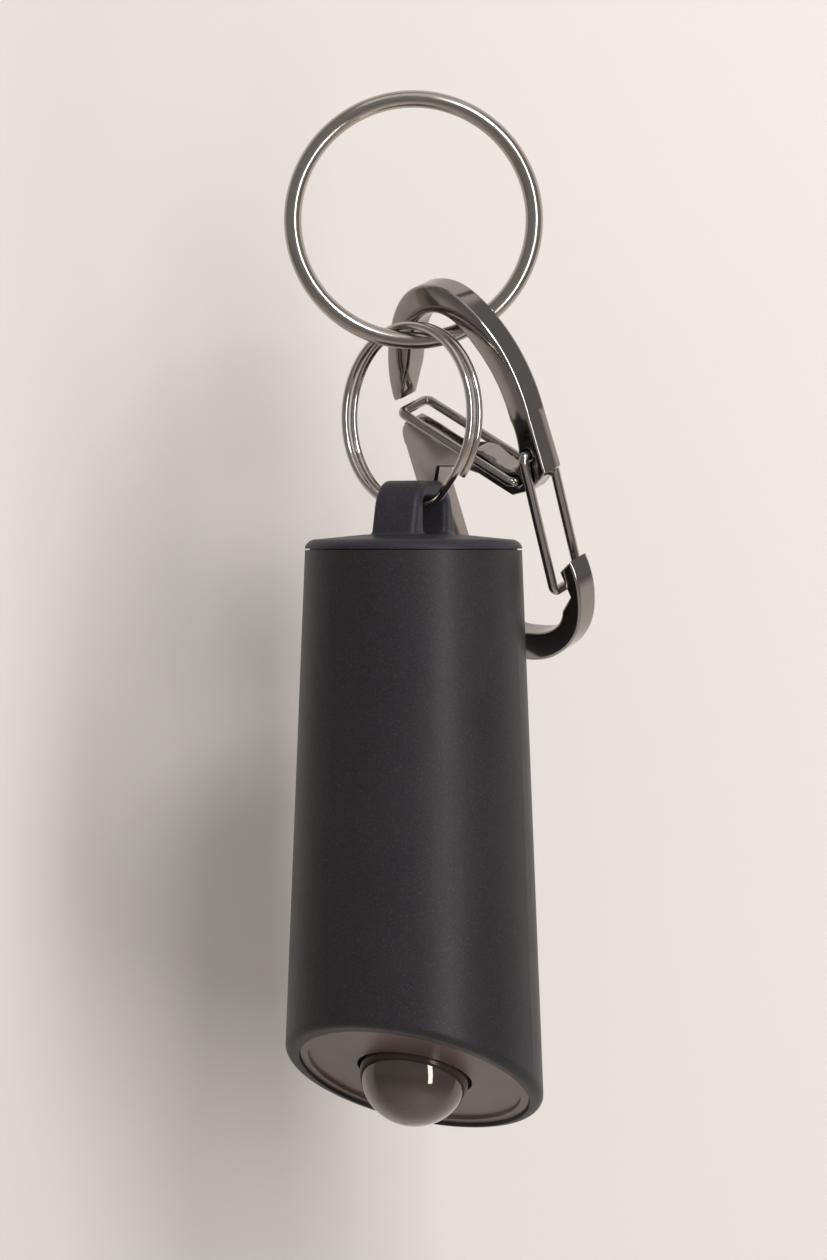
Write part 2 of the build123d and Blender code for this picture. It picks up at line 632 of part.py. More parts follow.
# Bulkhead: closes the body under the cap, with the screws that hold it to the chassis
with BuildPart() as bulkhead:
    with BuildSketch(Plane.XZ):
        with BuildLine():
            Polyline(
                (SOCKET_RADIUS + SLIP, SEAM_Z + BULKHEAD_TOP),
                (bore_at(BULKHEAD_TOP), SEAM_Z + BULKHEAD_TOP),
                (bore_at(bulkhead_low), SEAM_Z + bulkhead_low),
                (SOCKET_RADIUS + SLIP, SEAM_Z + bulkhead_low),
                close=True,
            )
        make_face()
    revolve(axis=Axis.Z)
    with BuildSketch(level(bulkhead_low - OVERRUN)):
        with Locations((-screw_offset, 0), (screw_offset, 0)):
            Circle(SCREW_RADIUS + SLIP)
    extrude(amount=BULKHEAD_THICKNESS + OVERRUN / HALF, mode=Mode.SUBTRACT)
    with BuildSketch(level(BULKHEAD_TOP - SCREW_HEAD_HEIGHT - SLIP)):
        with Locations((-screw_offset, 0), (screw_offset, 0)):
            Circle(SCREW_HEAD_RADIUS + SLIP)
    extrude(amount=SCREW_HEAD_HEIGHT + OVERRUN, mode=Mode.SUBTRACT)
save(bulkhead.part, "bulkhead")

with BuildPart() as bulkhead_screws:
    with BuildSketch(level(SCREW_END)):
        with Locations((-screw_offset, 0), (screw_offset, 0)):
            Circle(SCREW_RADIUS)
    extrude(amount=BULKHEAD_TOP - SCREW_END)
    with BuildSketch(level(BULKHEAD_TOP - SCREW_HEAD_HEIGHT)):
        with Locations((-screw_offset, 0), (screw_offset, 0)):
            Circle(SCREW_HEAD_RADIUS)
    extrude(amount=SCREW_HEAD_HEIGHT)
    with BuildSketch(level(BULKHEAD_TOP - SCREW_SLOT_DEPTH)):
        with Locations((-screw_offset, 0), (screw_offset, 0)):
            Rectangle(SCREW_HEAD_RADIUS / HALF + OVERRUN, SCREW_SLOT_WIDTH)
    extrude(amount=SCREW_SLOT_DEPTH + OVERRUN, mode=Mode.SUBTRACT)
save(bulkhead_screws.part, "bulkhead_screws")

# Pin socket: the guide tube under the bulkhead
with BuildPart() as pin_socket:
    add(level_disc(SOCKET_RADIUS, SOCKET_END, SOCKET_TOP))
    flange_high = bulkhead_low - SLIP
    add(level_disc(SOCKET_FLANGE_RADIUS, flange_high - SOCKET_FLANGE_THICKNESS, flange_high))
    with BuildSketch(level(SOCKET_END + SOCKET_FLOOR)):
        Circle(SOCKET_BORE)
    extrude(amount=SOCKET_TOP - SOCKET_END, mode=Mode.SUBTRACT)
    with BuildSketch(level(SOCKET_END - OVERRUN)):
        Circle(PLUNGER_STEM_RADIUS + STEM_CLEARANCE)
    extrude(amount=SOCKET_FLOOR + OVERRUN / HALF, mode=Mode.SUBTRACT)
save(pin_socket.part, "pin_socket")

# Switch plunger, pressed down by the pin
with BuildPart() as switch_plunger:
    head_high = PIN_END - PLUNGER_GAP
    add(level_disc(PLUNGER_HEAD_RADIUS, head_high - PLUNGER_HEAD_HEIGHT, head_high))
    add(level_disc(PLUNGER_STEM_RADIUS, PLUNGER_END, head_high))
save(switch_plunger.part, "switch_plunger")

# Plunger spring: one wire wound on biarcs
spring_pitch = (SPRING_HIGH - SPRING_LOW) / SPRING_TURNS
spring_slope = math.atan2(spring_pitch, math.tau * SPRING_RADIUS)


def spring_point(turns):
    angle = math.tau * turns
    height = SEAM_Z + SPRING_LOW + spring_pitch * turns
    return Vector(SPRING_RADIUS * math.cos(angle), SPRING_RADIUS * math.sin(angle), height)


def spring_way(turns):
    angle = math.tau * turns
    flat = math.cos(spring_slope)
    return Vector(-math.sin(angle) * flat, math.cos(angle) * flat, math.sin(spring_slope))


with BuildPart() as plunger_spring:
    with BuildLine() as spring_path:
        for step in range(SPRING_TURNS * SPRING_STEPS):
            start, end = step / SPRING_STEPS, (step + 1) / SPRING_STEPS
            biarc(spring_point(start), spring_point(end), spring_way(start), spring_way(end))
    with BuildSketch(Plane(origin=spring_point(0), z_dir=spring_way(0))):
        Circle(SPRING_WIRE_RADIUS)
    sweep(path=spring_path.line)
save(plunger_spring.part, "plunger_spring")
spring_gap = spring_pitch * math.cos(spring_slope) - SPRING_WIRE_RADIUS / HALF
print("plunger spring, least gap between its turns:", round(spring_gap, 3), "mm")

# Switch contacts: a sprung strip over a fixed strip, joined at one end
with BuildPart() as switch_contacts:
    contact_high = PLUNGER_END - SWITCH_GAP
    contact_low = DECK_TOP + SLIP
    for low, high in ((contact_low, contact_low + STACK_STEP), (contact_high - STACK_STEP, contact_high)):
        with BuildSketch(level(low)):
            Rectangle(SWITCH_LENGTH, SWITCH_WIDTH)
        extrude(amount=high - low)
    with BuildSketch(level(contact_low)):
        with Locations((SWITCH_LENGTH * HALF - STACK_STEP, 0)):
            Rectangle(STACK_STEP / HALF, SWITCH_WIDTH)
    extrude(amount=contact_high - contact_low)
save(switch_contacts.part, "switch_contacts")

# Chassis: deck, posts, sleeve for the cell and the rail for the board
with BuildPart() as chassis:
    add(level_disc(deck_radius, deck_low, DECK_TOP))
    with BuildSketch(level(deck_low)):
        with Locations((-screw_offset, 0), (screw_offset, 0)):
            Circle(POST_RADIUS)
    extrude(amount=bulkhead_low - SLIP - deck_low)
    with BuildSketch(level(sleeve_end)):
        with Locations((0, cell_y)):
            Circle(sleeve_outer)
    extrude(amount=deck_low - sleeve_end)
    with BuildSketch(level(rail_end)):
        with Locations((0, rail_face - RAIL_DEPTH * HALF)):
            Rectangle(board_width + RAIL_OVERHANG / HALF, RAIL_DEPTH)
    extrude(amount=deck_low - rail_end)
    with BuildSketch(level(sleeve_end - OVERRUN)):
        with Locations((0, cell_y)):
            Circle(sleeve_inner)
    extrude(amount=deck_low - sleeve_end + OVERRUN, mode=Mode.SUBTRACT)
    with BuildSketch(level(cell_low + WINDOW_END_MARGIN)):
        with Locations((0, cell_y - sleeve_outer)):
            Rectangle(WINDOW_WIDTH, sleeve_inner)
    extrude(amount=cell_top - WINDOW_TOP_MARGIN - cell_low - WINDOW_END_MARGIN, mode=Mode.SUBTRACT)
    with BuildSketch(level(SCREW_END - SCREW_HEAD_HEIGHT)):
        with Locations((-screw_offset, 0), (screw_offset, 0)):
            Circle(SCREW_RADIUS + SLIP)
    extrude(amount=bulkhead_low - SCREW_END + SCREW_HEAD_HEIGHT, mode=Mode.SUBTRACT)
save(chassis.part, "chassis")

# Battery cell and its two contacts
with BuildPart() as battery_cell:
    with BuildSketch(level(cell_low)):
        with Locations((0, cell_y)):
            Circle(cell_radius)
    extrude(amount=cell_top - CELL_NUB_HEIGHT - cell_low)
    fillet(battery_cell.edges().filter_by(GeomType.CIRCLE), radius=CELL_EDGE_ROUND)
    with BuildSketch(level(cell_top - CELL_NUB_HEIGHT - CELL_EDGE_ROUND)):
        with Locations((0, cell_y)):
            Circle(CELL_NUB_RADIUS)
    extrude(amount=CELL_NUB_HEIGHT + CELL_EDGE_ROUND)
save(battery_cell.part, "battery_cell")
print("cell, across and long:", round(cell_radius / HALF, 2), round(cell_top - cell_low, 2), "mm")

with BuildPart() as battery_contact_top:
    top_high = deck_low - SLIP
    with BuildSketch(level(top_high - STACK_STEP)):
        with Locations((0, cell_y)):
            Rectangle(TOP_CONTACT_WIDTH, TOP_CONTACT_LENGTH)
    extrude(amount=STACK_STEP)
    with BuildSketch(level(cell_top + SLIP)):
        with Locations((0, cell_y)):
            Circle(TOP_CONTACT_BUMP)
    extrude(amount=top_high - cell_top - SLIP)
save(battery_contact_top.part, "battery_contact_top")

with BuildPart() as battery_contact_low:
    with BuildSketch(level(cell_low - SLIP - STACK_STEP)):
        with Locations((0, cell_y)):
            Rectangle(LOW_CONTACT_WIDTH, low_contact_length)
    extrude(amount=STACK_STEP)
save(battery_contact_low.part, "battery_contact_low")

# Circuit board with the coil that raises the sounder's voltage, and the controller chip
with BuildPart() as circuit_board:
    with BuildSketch(level(board_end)):
        with Locations((0, (board_front + board_back) * HALF)):
            Rectangle(board_width, BOARD_THICKNESS)
    extrude(amount=board_length)
save(circuit_board.part, "circuit_board")

board_plane = Plane(origin=(0, board_back + SLIP, SEAM_Z), x_dir=-FRONT_AXIS, z_dir=Vector(0, 1, 0))
with BuildPart() as boost_coil:
    with BuildSketch(board_plane):
        with Locations((0, board_top - board_length * COIL_SHARE)):
            Circle(COIL_RADIUS)
    extrude(amount=COIL_FLANGE)
    with BuildSketch(board_plane):
        with Locations((0, board_top - board_length * COIL_SHARE)):
            Circle(COIL_CORE_RADIUS)
    extrude(amount=COIL_HEIGHT)
    with BuildSketch(board_plane.offset(COIL_HEIGHT - COIL_FLANGE)):
        with Locations((0, board_top - board_length * COIL_SHARE)):
            Circle(COIL_RADIUS)
    extrude(amount=COIL_FLANGE)
save(boost_coil.part, "boost_coil")

with BuildPart() as controller_chip:
    with BuildSketch(board_plane):
        with Locations((0, board_top - board_length * CHIP_SHARE)):
            Rectangle(CHIP_SIZE, CHIP_SIZE)
    extrude(amount=CHIP_HEIGHT)
save(controller_chip.part, "controller_chip")


# Carabiner: the plate's own plane, tilted as it hangs beside the alarm
def photo_direction(right, up, near):
    return RIGHT * right + UP * up + NEAR * near


plate_down = unit(photo_direction(LEAN_RIGHT_SHARE, LEAN_DOWN_SHARE, LEAN_NEAR_SHARE))
plate_across = photo_direction(ACROSS_RIGHT_SHARE, ACROSS_UP_SHARE, ACROSS_NEAR_SHARE)
plate_across = unit(plate_across - plate_down * plate_across.dot(plate_down))
plate_out = plate_down.cross(plate_across)
plate_middle = (
    photo_direction(PLATE_ORIGIN_RIGHT, PLATE_ORIGIN_Z, PLATE_ORIGIN_NEAR)
    - plate_across * PLATE_ORIGIN_ACROSS
)
plate_front = Plane(origin=plate_middle, x_dir=plate_across, z_dir=plate_out)


def plate_point(share):
    """A point in the plate's plane from its shares of the half width and the length."""
    return (share[0] * PLATE_HALF, -share[1] * PLATE_LENGTH)


def plate_curve(shares):
    return [plate_point(share) for share in shares]


with BuildPart() as carabiner_frame:
    with BuildSketch(plate_front):
        with BuildLine():
            Spline(plate_curve(HOOK_OUTER_SHARES))
            Polyline(plate_curve(HOOK_END_SHARES))
            Spline(plate_curve(HOOK_INNER_SHARES))
            Spline(plate_curve(MIDDLE_UPPER_SHARES))
            Spline(plate_curve(CORNER_SHARES))
            Polyline(plate_curve(SPINE_SHARES))
            Spline(plate_curve(BOTTOM_OUTER_SHARES))
            Polyline(plate_curve(NOSE_SHARES))
            Spline(plate_curve(BOTTOM_INNER_SHARES))
            Polyline(plate_curve(SPINE_INNER_SHARES))
            Polyline(plate_curve(MIDDLE_LOWER_SHARES))
        make_face()
        with Locations(plate_point(UPPER_GATE_HINGE_SHARE), plate_point(LOWER_GATE_HINGE_SHARE)):
            Circle(GATE_HOLE_RADIUS, mode=Mode.SUBTRACT)
    extrude(amount=-PLATE_THICKNESS)
save(carabiner_frame.part, "carabiner_frame")


def wire_gate(hinge_share, tip_share):
    """A bent wire gate: an end in the plate, a leg, the tip, the other leg and the other end."""
    near_side = GATE_SIDE_GAP + GATE_WIRE_RADIUS
    far_side = -PLATE_THICKNESS - near_side
    hinge = plate_point(hinge_share)
    tip = plate_point(tip_share)
    corners = [
        plate_front.from_local_coords((*hinge, -GATE_STUB)),
        plate_front.from_local_coords((*hinge, near_side)),
        plate_front.from_local_coords((*tip, near_side)),
        plate_front.from_local_coords((*tip, far_side)),
        plate_front.from_local_coords((*hinge, far_side)),
        plate_front.from_local_coords((*hinge, GATE_STUB - PLATE_THICKNESS)),
    ]
    with BuildPart() as gate:
        with BuildLine() as gate_path:
            FilletPolyline(*corners, radius=GATE_BEND)
        with BuildSketch(Plane(origin=corners[0], z_dir=plate_out)):
            Circle(GATE_WIRE_RADIUS)
        sweep(path=gate_path.line)
    return gate.part


save(wire_gate(UPPER_GATE_HINGE_SHARE, UPPER_GATE_TIP_SHARE), "upper_gate")
save(wire_gate(LOWER_GATE_HINGE_SHARE, LOWER_GATE_TIP_SHARE), "lower_gate")

# Figures for the record, in metres
for label, point in (
    ("key ring wire, lowest middle", Vector(0, 0, KEY_WIRE_LOW_Z)),
    ("split ring wire, lowest middle", Vector(0, 0, SPLIT_LOW_Z)),
    ("seam", Vector(0, 0, SEAM_Z)),
    ("spring low end", Vector(0, 0, SEAM_Z + SPRING_LOW)),
    ("upper gate hinge", plate_front.from_local_coords((*plate_point(UPPER_GATE_HINGE_SHARE), 0))),
    ("lower gate hinge", plate_front.from_local_coords((*plate_point(LOWER_GATE_HINGE_SHARE), 0))),
):
    print(label, [round(value / MM_PER_METRE, 5) for value in point])
for label, way in (("plate out", plate_out), ("split along", split_along), ("right", RIGHT)):
    print(label, [round(value, 5) for value in way])
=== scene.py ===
import logging
import math
from dataclasses import dataclass
from enum import Enum
from typing import Any

import bmesh
import bpy
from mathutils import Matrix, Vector


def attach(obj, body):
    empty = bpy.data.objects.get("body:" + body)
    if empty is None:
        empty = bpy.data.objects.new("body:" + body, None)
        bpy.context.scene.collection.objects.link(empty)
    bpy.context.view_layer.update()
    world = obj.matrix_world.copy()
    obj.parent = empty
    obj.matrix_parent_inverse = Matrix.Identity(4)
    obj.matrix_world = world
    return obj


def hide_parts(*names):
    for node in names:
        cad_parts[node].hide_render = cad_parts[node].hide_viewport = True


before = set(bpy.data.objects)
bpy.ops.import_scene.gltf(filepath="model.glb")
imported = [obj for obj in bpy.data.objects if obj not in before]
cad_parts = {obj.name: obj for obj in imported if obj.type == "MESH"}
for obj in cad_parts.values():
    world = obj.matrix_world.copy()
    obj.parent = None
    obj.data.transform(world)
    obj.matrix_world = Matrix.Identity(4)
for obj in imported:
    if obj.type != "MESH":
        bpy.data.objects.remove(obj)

log = logging.getLogger("safety_alarm")

MM = 0.001
"""Metres in a millimetre: what is named in mm is multiplied by this to give Blender's metres."""

UP = Vector((0.0, 0.0, 1.0))
"""The alarm's axis, from the sounder end to the rings."""

VIEW_TURN = math.radians(23.0)
"""Angle from the alarm's front to the camera, to the right."""

NOISE_LOW, NOISE_HIGH = 0.3, 0.7
"""The span that nearly all values of a noise texture lie in."""

MIX_SHARE, MIX_FIRST, MIX_SECOND, MIX_RESULT = 0, 6, 7, 2
"""Sockets of a colour Mix node: its factor, its two colours, and its result among the outputs."""

SOFT_DETAIL, MIDDLE_DETAIL, FINE_DETAIL = 2.0, 3.0, 4.0
"""Layers of a noise texture: for clouds, for grain and stains, and for scratches."""

POLYMER_IOR = 1.5
"""Refractive index of the lacquer and of the moulded pieces."""


@dataclass(frozen=True)
class Marks:
    """The marks that one way of finishing leaves on bare metal.

    Attributes:
        squeeze: Scale of the marks along Z against across it. Less than one makes them long.
        spread: Roughness that the worst stains add.
        depth_mm: Depth of the marks.
    """

    squeeze: float
    spread: float
    depth_mm: float


class MetalFinish(Enum):
    """How a metal piece got its surface: on a polishing wheel, by handling, or as it was made."""

    POLISHED = Marks(0.08, 0.03, 0.0006)
    HANDLED = Marks(0.35, 0.09, 0.003)
    PLAIN = Marks(0.35, 0.05, 0.0015)


def linear(colour: str) -> tuple[float, float, float, float]:
    """Turns an sRGB hex colour to the linear values that shader sockets hold.

    Args:
        colour: Six hex digits, with or without a leading hash.

    Returns:
        Linear red, green and blue, and an alpha of one.
    """
    digits = colour.lstrip("#")
    channels = [int(digits[place:place + 2], 16) / 255 for place in (0, 2, 4)]
    made = [c / 12.92 if c <= 0.04045 else ((c + 0.055) / 1.055) ** 2.4 for c in channels]
    return (made[0], made[1], made[2], 1.0)


def per_mm(size_mm: float) -> float:
    """Gives the texture scale that puts one feature in so many millimetres."""
    return 1.0 / (size_mm * MM)


def add_node(
    tree: bpy.types.NodeTree,
    kind: str,
    settings: dict[str | int, Any] | None = None,
    links: dict[str | int, bpy.types.NodeSocket] | None = None,
) -> bpy.types.Node:
    """Adds one node to a tree with its settings and its incoming links.

    Args:
        tree: The node tree.
        kind: The node's type name.
        settings: Attributes (lower-case names) and socket values (socket names or numbers).
        links: Output sockets by the name or number of the input they feed.

    Returns:
        The new node.
    """
    made = tree.nodes.new(kind)
    sockets: dict[str | int, Any] = {}
    for name, value in (settings or {}).items():
        if isinstance(name, str) and name.islower() and hasattr(made, name):
            setattr(made, name, value)
        else:
            sockets[name] = value
    for name, value in sockets.items():
        made.inputs[name].default_value = value
    for name, source in (links or {}).items():
        tree.links.new(source, made.inputs[name])
    return made


def blank_material(name: str) -> tuple[bpy.types.Material, bpy.types.NodeTree]:
    """Makes an empty node material.

    Args:
        name: The material's name.

    Returns:
        The material and its node tree.
    """
    material = bpy.data.materials.new(name)
    material.use_nodes = True
    material.node_tree.nodes.clear()
    return material, material.node_tree


@dataclass(frozen=True)
class SoftTouchPlastic:
    """Moulded polycarbonate under a matt soft-touch lacquer with a trace of metallic flake.

    The lacquer spreads highlights into one broad soft band and kills sharp reflections. Its real
    flakes are taken as about 0.02 mm, too fine for the render, so they are drawn larger and few.

    Attributes:
        name: The material's name.
        colour: The lacquer between its flakes.
        flake_colour: The flakes.
        roughness: Middle roughness, which the clouds move by `rough_swing`.
        specular: Strength of the surface's own reflection.
        grain_mm: Size of the lacquer's grain.
        flake_mm: Size of the cells that may hold one flake each.
        flake_share: Share of the cells that do.
        grain_depth_mm: Depth of the grain.
        grain_strength: Strength of the grain's bump.
        grain_swing: How far the grain lightens and darkens the colour.
        flake_reach: Radius of a flake, in cells.
        cloud_mm: Size of the soft clouds in colour and roughness.
        cloud_swing: How far the clouds lighten and darken the colour.
        rough_swing: How far the clouds move the roughness.
    """

    name: str
    colour: str
    flake_colour: str
    roughness: float = 0.46
    specular: float = 0.2
    grain_mm: float = 0.16
    flake_mm: float = 0.13
    flake_share: float = 0.14
    grain_depth_mm: float = 0.004
    grain_strength: float = 0.6
    grain_swing: float = 0.2
    flake_reach: float = 0.34
    cloud_mm: float = 9.0
    cloud_swing: float = 0.06
    rough_swing: float = 0.03

    def material(self) -> bpy.types.Material:
        """Builds the node material.

        Returns:
            The material.
        """
        material, tree = blank_material(self.name)
        where = add_node(tree, "ShaderNodeTexCoord").outputs["Object"]
        grain = add_node(
            tree, "ShaderNodeTexNoise", {"Scale": per_mm(self.grain_mm), "Detail": MIDDLE_DETAIL},
            {"Vector": where},
        )
        clouds = add_node(
            tree, "ShaderNodeTexNoise", {"Scale": per_mm(self.cloud_mm), "Detail": SOFT_DETAIL},
            {"Vector": where},
        )
        flakes = add_node(
            tree, "ShaderNodeTexVoronoi", {"Scale": per_mm(self.flake_mm)}, {"Vector": where}
        )
        chance = add_node(
            tree, "ShaderNodeSeparateColor", {}, {"Color": flakes.outputs["Color"]}
        )
        rare = add_node(
            tree, "ShaderNodeMath", {"operation": "LESS_THAN", 1: self.flake_share},
            {0: chance.outputs["Red"]},
        )
        small = add_node(
            tree, "ShaderNodeMath", {"operation": "LESS_THAN", 1: self.flake_reach},
            {0: flakes.outputs["Distance"]},
        )
        fleck = add_node(
            tree, "ShaderNodeMath", {"operation": "MULTIPLY"},
            {0: rare.outputs[0], 1: small.outputs[0]},
        )
        shade = add_node(
            tree, "ShaderNodeMapRange",
            {"From Min": NOISE_LOW, "From Max": NOISE_HIGH,
             "To Min": 1 - self.cloud_swing, "To Max": 1 + self.cloud_swing},
            {"Value": clouds.outputs["Fac"]},
        )
        speckle = add_node(
            tree, "ShaderNodeMapRange",
            {"From Min": NOISE_LOW, "From Max": NOISE_HIGH,
             "To Min": 1 - self.grain_swing, "To Max": 1 + self.grain_swing},
            {"Value": grain.outputs["Fac"]},
        )
        both = add_node(
            tree, "ShaderNodeMath", {"operation": "MULTIPLY"},
            {0: shade.outputs[0], 1: speckle.outputs[0]},
        )
        base = add_node(
            tree, "ShaderNodeMix",
            {"data_type": "RGBA", "blend_type": "MULTIPLY",
             MIX_SHARE: 1.0, MIX_FIRST: linear(self.colour)},
            {MIX_SECOND: both.outputs[0]},
        )
        colour = add_node(
            tree, "ShaderNodeMix",
            {"data_type": "RGBA", MIX_SECOND: linear(self.flake_colour)},
            {MIX_SHARE: fleck.outputs[0], MIX_FIRST: base.outputs[MIX_RESULT]},
        )
        rough = add_node(
            tree, "ShaderNodeMapRange",
            {"From Min": NOISE_LOW, "From Max": NOISE_HIGH,
             "To Min": self.roughness - self.rough_swing,
             "To Max": self.roughness + self.rough_swing},
            {"Value": clouds.outputs["Fac"]},
        )
        bump = add_node(
            tree, "ShaderNodeBump",
            {"Strength": self.grain_strength, "Distance": self.grain_depth_mm * MM},
            {"Height": grain.outputs["Fac"]},
        )
        shader = add_node(
            tree, "ShaderNodeBsdfPrincipled",
            {"IOR": POLYMER_IOR, "Specular IOR Level": self.specular},
            {"Base Color": colour.outputs[MIX_RESULT], "Roughness": rough.outputs[0],
             "Normal": bump.outputs[0]},
        )
        add_node(tree, "ShaderNodeOutputMaterial", {}, {"Surface": shader.outputs[0]})
        return material


@dataclass(frozen=True)
class MouldedPiece:
    """Plastic, rubber, resin or ferrite, with the even fine texture that its mould leaves.

    Attributes:
        name: The material's name.
        colour: The moulding's colour, right through.
        roughness: Middle roughness, which the clouds move by `rough_swing`.
        grain_mm: Size of the mould's texture.
        grain_depth_mm: Depth of that texture.
        grain_strength: Strength of its bump.
        cloud_mm: Size of the soft clouds in colour and roughness.
        cloud_swing: How far the clouds lighten and darken the colour.
        rough_swing: How far the clouds move the roughness.
    """

    name: str
    colour: str
    roughness: float = 0.5
    grain_mm: float = 0.35
    grain_depth_mm: float = 0.006
    grain_strength: float = 0.5
    cloud_mm: float = 5.0
    cloud_swing: float = 0.05
    rough_swing: float = 0.04

    def material(self) -> bpy.types.Material:
        """Builds the node material.

        Returns:
            The material.
        """
        material, tree = blank_material(self.name)
        where = add_node(tree, "ShaderNodeTexCoord").outputs["Object"]
        grain = add_node(
            tree, "ShaderNodeTexNoise", {"Scale": per_mm(self.grain_mm), "Detail": SOFT_DETAIL},
            {"Vector": where},
        )
        clouds = add_node(
            tree, "ShaderNodeTexNoise", {"Scale": per_mm(self.cloud_mm), "Detail": SOFT_DETAIL},
            {"Vector": where},
        )
        shade = add_node(
            tree, "ShaderNodeMapRange",
            {"From Min": NOISE_LOW, "From Max": NOISE_HIGH,
             "To Min": 1 - self.cloud_swing, "To Max": 1 + self.cloud_swing},
            {"Value": clouds.outputs["Fac"]},
        )
        colour = add_node(
            tree, "ShaderNodeMix",
            {"data_type": "RGBA", "blend_type": "MULTIPLY",
             MIX_SHARE: 1.0, MIX_FIRST: linear(self.colour)},
            {MIX_SECOND: shade.outputs[0]},
        )
        rough = add_node(
            tree, "ShaderNodeMapRange",
            {"From Min": NOISE_LOW, "From Max": NOISE_HIGH,
             "To Min": self.roughness - self.rough_swing,
             "To Max": self.roughness + self.rough_swing},
            {"Value": clouds.outputs["Fac"]},
        )
        bump = add_node(
            tree, "ShaderNodeBump",
            {"Strength": self.grain_strength, "Distance": self.grain_depth_mm * MM},
            {"Height": grain.outputs["Fac"]},
        )
        shader = add_node(
            tree, "ShaderNodeBsdfPrincipled", {"IOR": POLYMER_IOR},
            {"Base Color": colour.outputs[MIX_RESULT], "Roughness": rough.outputs[0],
             "Normal": bump.outputs[0]},
        )
        add_node(tree, "ShaderNodeOutputMaterial", {}, {"Surface": shader.outputs[0]})
        return material


@dataclass(frozen=True)
class BareMetal:
    """Metal with no paint on it, solid or plated, with fine marks and faint stains.

    Attributes:
        name: The material's name.
        colour: The metal's colour where it is clean.
        roughness: Roughness where it is clean.
        finish: How the piece was finished, which decides its marks.
        scratch_mm: Width of the marks.
        scratch_harshness: Weight of the finest marks against the widest.
        stain_mm: Size of the stains.
        stained_shade: Brightness of the worst stains against clean metal.
        rough_span: Noise values between which the roughness grows.
        shade_span: Noise values between which the colour darkens.
        mark_strength: Strength of the marks' bump.
    """

    name: str
    colour: str
    roughness: float
    finish: MetalFinish = MetalFinish.PLAIN
    scratch_mm: float = 0.12
    scratch_harshness: float = 0.65
    stain_mm: float = 3.0
    stained_shade: float = 0.86
    rough_span: tuple[float, float] = (0.35, 0.65)
    shade_span: tuple[float, float] = (0.3, 0.75)
    mark_strength: float = 0.5

    def material(self) -> bpy.types.Material:
        """Builds the node material.

        Returns:
            The material.
        """
        material, tree = blank_material(self.name)
        marks = self.finish.value
        where = add_node(tree, "ShaderNodeTexCoord").outputs["Object"]
        drawn = add_node(
            tree, "ShaderNodeMapping", {"Scale": (1.0, 1.0, marks.squeeze)}, {"Vector": where}
        )
        scratches = add_node(
            tree, "ShaderNodeTexNoise",
            {"Scale": per_mm(self.scratch_mm), "Detail": FINE_DETAIL,
             "Roughness": self.scratch_harshness},
            {"Vector": drawn.outputs[0]},
        )
        stains = add_node(
            tree, "ShaderNodeTexNoise", {"Scale": per_mm(self.stain_mm), "Detail": MIDDLE_DETAIL},
            {"Vector": where},
        )
        rough = add_node(
            tree, "ShaderNodeMapRange",
            {"From Min": self.rough_span[0], "From Max": self.rough_span[1],
             "To Min": self.roughness, "To Max": self.roughness + marks.spread},
            {"Value": stains.outputs["Fac"]},
        )
        shade = add_node(
            tree, "ShaderNodeMapRange",
            {"From Min": self.shade_span[0], "From Max": self.shade_span[1],
             "To Min": 1.0, "To Max": self.stained_shade},
            {"Value": stains.outputs["Fac"]},
        )
        colour = add_node(
            tree, "ShaderNodeMix",
            {"data_type": "RGBA", "blend_type": "MULTIPLY",
             MIX_SHARE: 1.0, MIX_FIRST: linear(self.colour)},
            {MIX_SECOND: shade.outputs[0]},
        )
        bump = add_node(
            tree, "ShaderNodeBump",
            {"Strength": self.mark_strength, "Distance": marks.depth_mm * MM},
            {"Height": scratches.outputs["Fac"]},
        )
        shader = add_node(
            tree, "ShaderNodeBsdfPrincipled", {"Metallic": 1.0},
            {"Base Color": colour.outputs[MIX_RESULT], "Roughness": rough.outputs[0],
             "Normal": bump.outputs[0]},
        )
        add_node(tree, "ShaderNodeOutputMaterial", {}, {"Surface": shader.outputs[0]})
        return material


